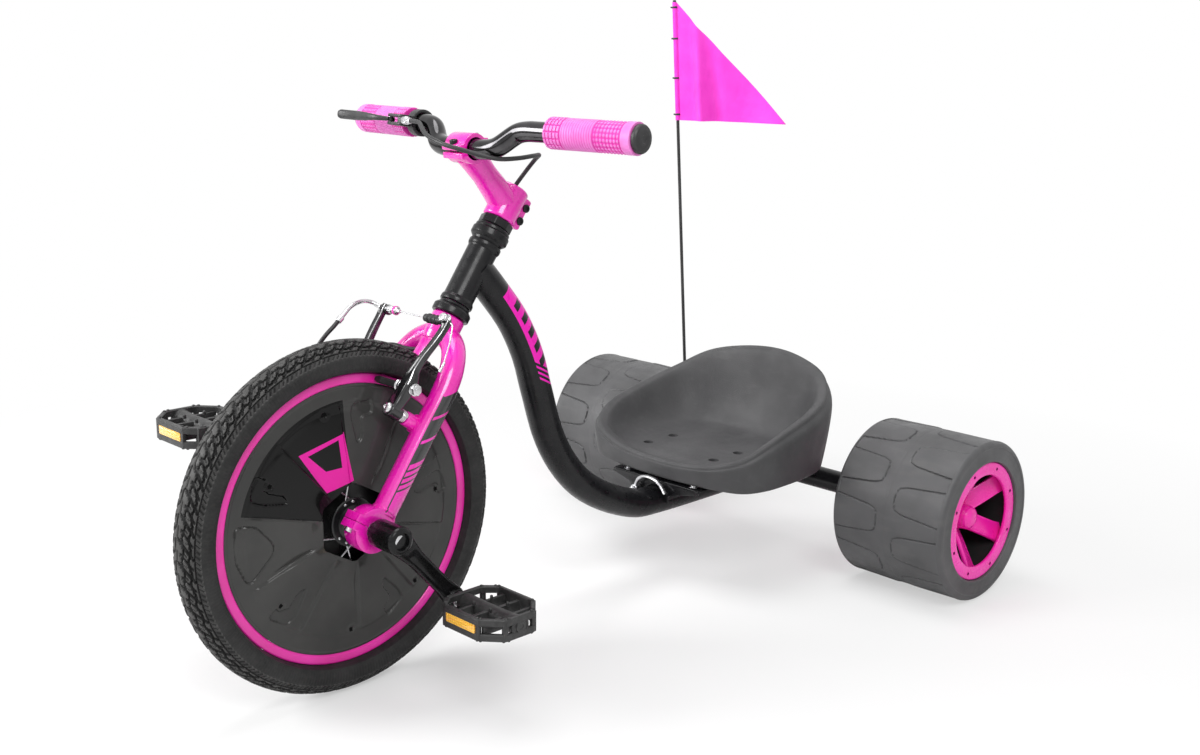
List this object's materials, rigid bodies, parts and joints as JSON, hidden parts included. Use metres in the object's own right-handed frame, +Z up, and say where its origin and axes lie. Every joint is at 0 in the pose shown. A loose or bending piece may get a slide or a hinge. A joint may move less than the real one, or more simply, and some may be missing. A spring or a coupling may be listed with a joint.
{
  "type": "drift trike",
  "caption": "Pedalled three-wheeler with a large covered front wheel, bent spine, sliding bucket seat, wide slick rear wheels, front rim brake and pennant.",
  "frame": {"origin": "on the ground under the middle of the overall length, on the plane of symmetry", "axes": "+X forwards, towards the pedalled wheel, +Y the rider's left, +Z up"},
  "size_m": [1.037, 0.702, 0.7571],
  "materials": {
    "black_paint": "satin black powder coat",
    "pink_paint": "gloss pink paint",
    "bar_chrome": "dark chrome",
    "bright_steel": "bright zinc plate",
    "pink_plastic": "gloss moulded pink",
    "grip_rubber": "matt pink rubber",
    "black_plastic": "satin moulded black",
    "cable_rubber": "smooth black rubber",
    "tyre_rubber": "matt tread rubber",
    "slick_plastic": "hard satin grey-black plastic",
    "seat_plastic": "grained black plastic",
    "amber_lens": "prismatic amber",
    "pink_cloth": "thin woven nylon"
  },
  "bodies": {
    "frame": {"frame": "black_paint", "headset_cup_lower": "black_paint", "headset_cup_upper": "black_paint", "rear_axle": "bright_steel", "flag_pole": "black_plastic", "flag": "pink_cloth"},
    "seat_carriage": {"seat_bracket": "black_paint", "seat": "seat_plastic"},
    "clamp_lever": {"clamp_lever": "bright_steel"},
    "fork": {"fork": "pink_paint", "bearing_cap_left": "pink_paint", "bearing_cap_right": "pink_paint", "front_bearing_left": "bright_steel", "front_bearing_right": "bright_steel", "headset_race": "black_paint", "headset_locknut": "black_paint", "stem": "pink_paint", "stem_face_plate": "pink_paint", "handlebar": "bar_chrome", "grip_left": "grip_rubber", "grip_right": "grip_rubber", "grip_plug_left": "black_plastic", "grip_plug_right": "black_plastic", "lever_bracket": "black_plastic", "barrel_adjuster": "bright_steel", "brake_cable": "cable_rubber"},
    "brake_lever": {"brake_lever": "black_plastic"},
    "brake_arm_left": {"brake_arm_left": "black_paint", "brake_pad_left": "cable_rubber", "brake_boot": "cable_rubber", "brake_wire": "bright_steel"},
    "brake_arm_right": {"brake_arm_right": "black_paint", "brake_pad_right": "cable_rubber", "brake_noodle": "bright_steel"},
    "front_wheel": {"front_tyre": "tyre_rubber", "front_rim": "pink_paint", "front_hub": "bright_steel", "wheel_cover_left": "black_plastic", "wheel_cover_right": "black_plastic", "front_spindle": "bright_steel", "crank_left": "black_paint", "crank_right": "black_paint", "pedal_axle_left": "bright_steel", "pedal_axle_right": "bright_steel"},
    "pedal_left": {"pedal_left": "black_plastic", "reflector_front_left": "amber_lens", "reflector_rear_left": "amber_lens"},
    "pedal_right": {"pedal_right": "black_plastic", "reflector_front_right": "amber_lens", "reflector_rear_right": "amber_lens"},
    "rear_wheel_left": {"slick_tyre_left": "slick_plastic", "slick_hub_left": "pink_plastic", "slick_cap_left": "pink_plastic", "slick_bearings_left": "bright_steel"},
    "rear_wheel_right": {"slick_tyre_right": "slick_plastic", "slick_hub_right": "pink_plastic", "slick_cap_right": "pink_plastic", "slick_bearings_right": "bright_steel"}
  },
  "joints": [
    {"name": "seat_slide", "type": "slide", "parent": "frame", "child": "seat_carriage", "axis": [-1, 0, 0], "range_m": [0, 0.05]},
    {"name": "clamp_turn", "type": "hinge", "parent": "seat_carriage", "child": "clamp_lever", "pos_m": [-0.1605, -0.027, 0.117], "axis": [1, 0, 0], "range_deg": [0, 110]},
    {"name": "steer", "type": "hinge", "parent": "frame", "child": "fork", "pos_m": [0.14487, 0, 0.43616], "axis": [-0.5736, 0, 0.8192], "range_deg": [-45, 45]},
    {"name": "lever_turn", "type": "hinge", "parent": "fork", "child": "brake_lever", "pos_m": [0.15995, -0.11916, 0.60805], "axis": [0.1392, -0.0133, -0.9902], "range_deg": [0, 15], "stiffness_Nm_per_rad": 1.2, "springref_deg": -5.73},
    {"name": "arm_left_turn", "type": "hinge", "parent": "fork", "child": "brake_arm_left", "pos_m": [0.28441, 0.042, 0.31534], "axis": [0.8192, 0, 0.5736], "range_deg": [0, 2.25]},
    {"name": "arm_right_turn", "type": "hinge", "parent": "fork", "child": "brake_arm_right", "pos_m": [0.28441, -0.042, 0.31534], "axis": [-0.8192, 0, -0.5736], "range_deg": [0, 2.25]},
    {"name": "front_wheel_spin", "type": "hinge", "parent": "fork", "child": "front_wheel", "pos_m": [0.3235, 0, 0.195], "axis": [0, 1, 0], "continuous": true},
    {"name": "pedal_left_spin", "type": "hinge", "parent": "front_wheel", "child": "pedal_left", "pos_m": [0.24966, 0.16, 0.11212], "axis": [0, 1, 0], "continuous": true},
    {"name": "pedal_right_spin", "type": "hinge", "parent": "front_wheel", "child": "pedal_right", "pos_m": [0.39734, -0.16, 0.27788], "axis": [0, 1, 0], "continuous": true},
    {"name": "rear_left_spin", "type": "hinge", "parent": "frame", "child": "rear_wheel_left", "pos_m": [-0.4125, 0.2695, 0.106], "axis": [0, 1, 0], "continuous": true},
    {"name": "rear_right_spin", "type": "hinge", "parent": "frame", "child": "rear_wheel_right", "pos_m": [-0.4125, -0.2695, 0.106], "axis": [0, 1, 0], "continuous": true}
  ],
  "couplings": [
    {"joint": "arm_left_turn", "follows": "lever_turn", "ratio": 0.15},
    {"joint": "arm_right_turn", "follows": "lever_turn", "ratio": 0.15}
  ]
}
